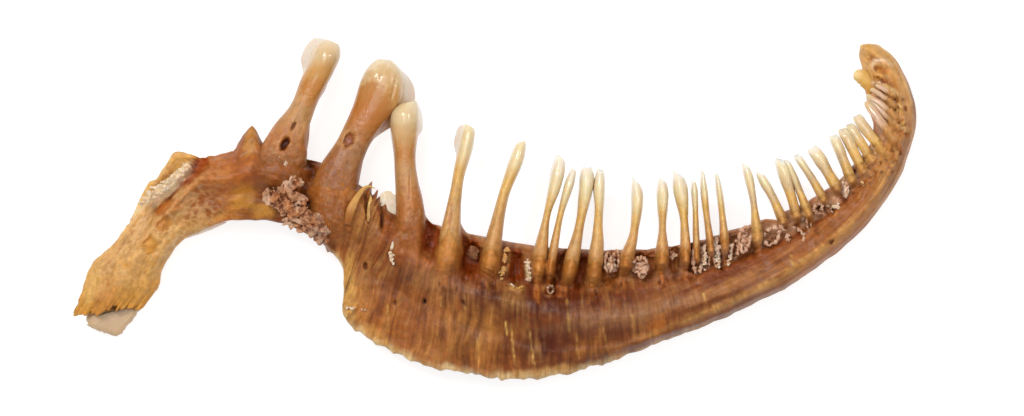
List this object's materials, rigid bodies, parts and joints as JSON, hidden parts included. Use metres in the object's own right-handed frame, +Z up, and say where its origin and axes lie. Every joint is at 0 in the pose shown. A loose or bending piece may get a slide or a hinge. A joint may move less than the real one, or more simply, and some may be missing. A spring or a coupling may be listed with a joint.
{
  "type": "fish pharyngeal teeth",
  "caption": "Curved throat bone of a sucker fish with a comb of long upright teeth along its inner edge, lying flat on its side.",
  "frame": {"origin": "on the surface that the bone lies on, under the middle of its bounding box", "axes": "+X from the broken front limb to the hooked rear tip, +Y the way the teeth point, +Z up, away from the surface"},
  "size_m": [0.0507, 0.0206, 0.0051],
  "materials": {
    "arch_bone": "dry translucent bone, amber to brown, satin",
    "dried_tissue": "crumbly dried tissue, matt",
    "cartilage": "pale dried cartilage, matt"
  },
  "bodies": {
    "root": {"anterior_limb": "arch_bone", "major_tooth_base": "arch_bone", "deep_plate": "arch_bone", "middle_arch": "arch_bone", "comb_arch": "arch_bone", "posterior_limb": "arch_bone", "posterior_tip": "arch_bone", "dried_tissue": "dried_tissue", "symphysis_cartilage": "cartilage"}
  },
  "joints": []
}
